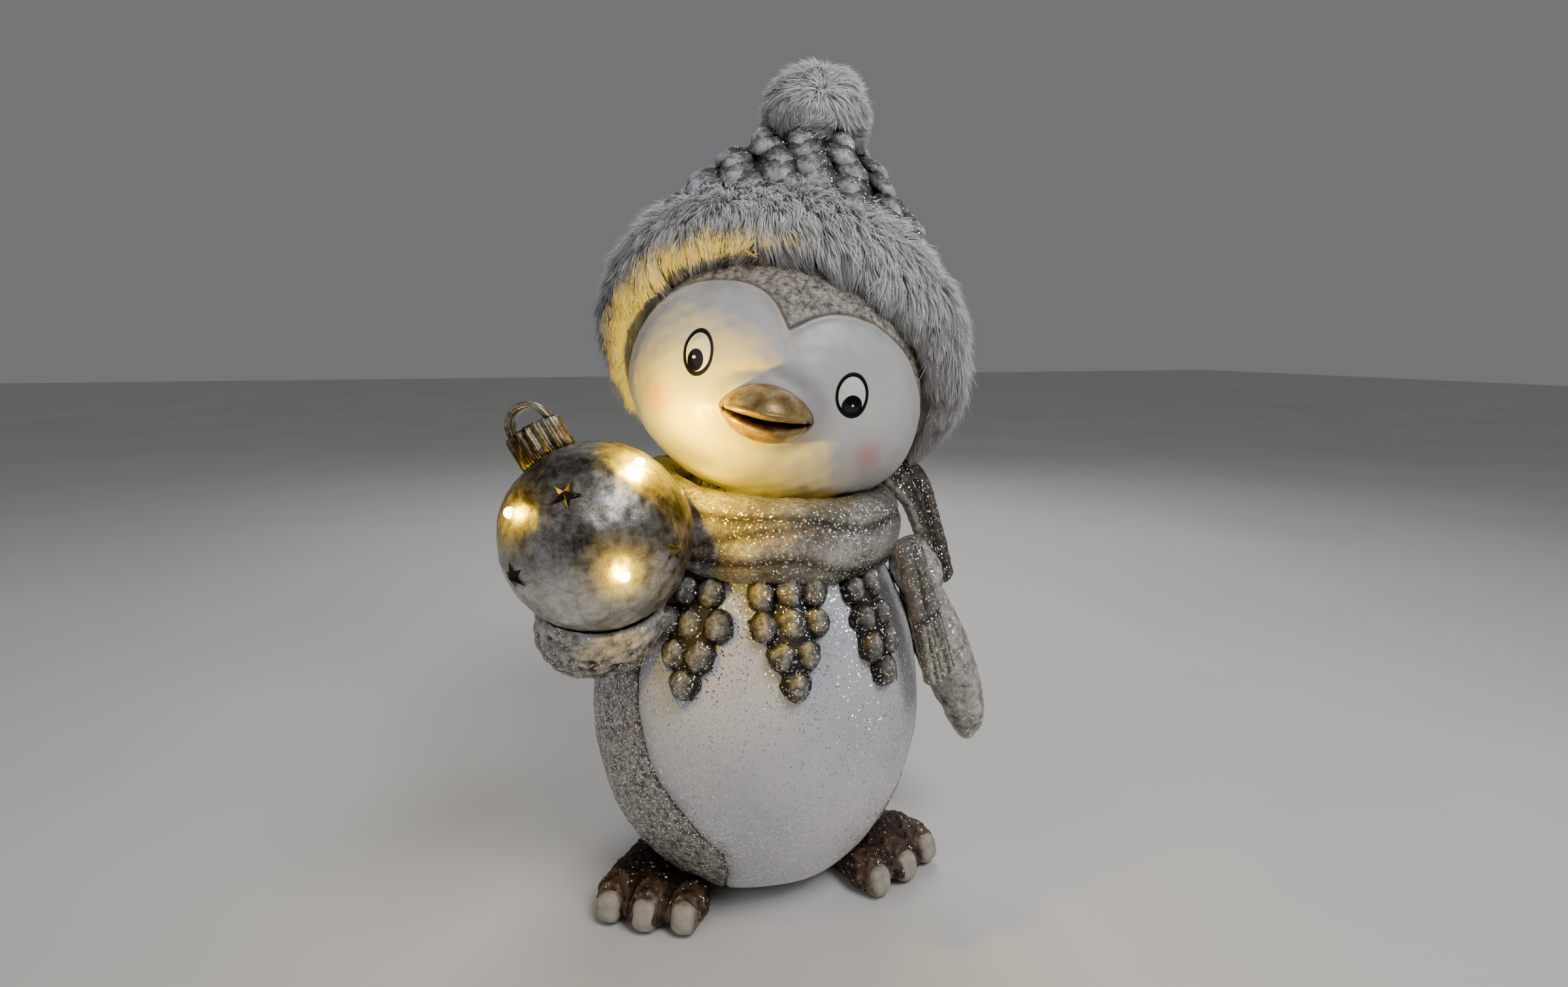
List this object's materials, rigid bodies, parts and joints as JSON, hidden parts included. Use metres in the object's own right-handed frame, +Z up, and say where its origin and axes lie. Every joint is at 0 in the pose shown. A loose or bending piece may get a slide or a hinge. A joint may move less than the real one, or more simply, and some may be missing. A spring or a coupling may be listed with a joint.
{
  "type": "penguin figurine",
  "caption": "Standing winter penguin figurine, hollow cast, with a fur-brimmed pine-cone hat, a scarf, and a lit silver bauble on its raised wing.",
  "frame": {"origin": "under the middle of the whole figurine's box, on the surface it stands on", "axes": "+Z up, the figurine's longest extent; the penguin faces -Y; its own right side, with the bauble, is at -X"},
  "size_m": [0.2406, 0.176, 0.4025],
  "materials": {
    "body_casting": "white paint with fine glitter over a cast magnesia body",
    "head_casting": "satin white paint over a cast magnesia head",
    "beak_paint": "gold brown paint, dark washed edges",
    "hat_casting": "dark grey brown wash, dry brushed silver white, glitter",
    "white_fur": "long white faux fur pile",
    "scarf_casting": "taupe wash, dry brushed white, glitter",
    "speckled_casting": "white over taupe, heavily speckled, glitter",
    "umber_casting": "dark umber, dry brushed, off white nails",
    "silver_leaf": "aged silver leaf with brown tarnish",
    "warm_led": "clear warm white LED dome, lit",
    "lead_wire": "thin pale insulated lead",
    "black_plastic": "moulded black plastic",
    "board": "green circuit board",
    "contact_steel": "plated spring steel",
    "cell_sleeve": "printed cell sleeve, no marks"
  },
  "bodies": {
    "figurine": {"body_shell": "body_casting", "head_shell": "head_casting", "beak": "beak_paint", "hat_shell": "hat_casting", "fur_brim": "white_fur", "pompom": "white_fur", "scarf_collar": "scarf_casting", "scarf_front_tail": "scarf_casting", "scarf_back_flap": "scarf_casting", "pendant_right": "hat_casting", "pendant_middle": "hat_casting", "pendant_left": "hat_casting", "raised_wing": "speckled_casting", "hanging_wing": "speckled_casting", "right_foot": "umber_casting", "left_foot": "umber_casting", "bauble_shell": "silver_leaf", "bauble_cap": "silver_leaf", "bauble_loop": "silver_leaf", "star_1": "silver_leaf", "star_2": "silver_leaf", "star_3": "silver_leaf", "star_4": "silver_leaf", "star_5": "silver_leaf", "star_6": "silver_leaf", "led_1": "warm_led", "led_2": "warm_led", "led_3": "warm_led", "led_4": "warm_led", "led_5": "warm_led", "led_lead": "lead_wire", "battery_box": "black_plastic", "cell_1": "cell_sleeve", "cell_2": "cell_sleeve", "cell_3": "cell_sleeve", "button_contacts": "contact_steel", "spring_contacts": "contact_steel", "driver_board": "board", "switch_case": "black_plastic"},
    "door": {"battery_door": "black_plastic"},
    "switch": {"switch_slider": "black_plastic"}
  },
  "joints": [
    {"name": "battery_door_hinge", "type": "hinge", "parent": "figurine", "child": "door", "pos_m": [-0.02596, 0.00634, 0.0039], "axis": [0, 1, 0], "range_deg": [0, 90]},
    {"name": "switch_slide", "type": "slide", "parent": "figurine", "child": "switch", "axis": [1, 0, 0], "range_m": [0, 0.0036]}
  ]
}
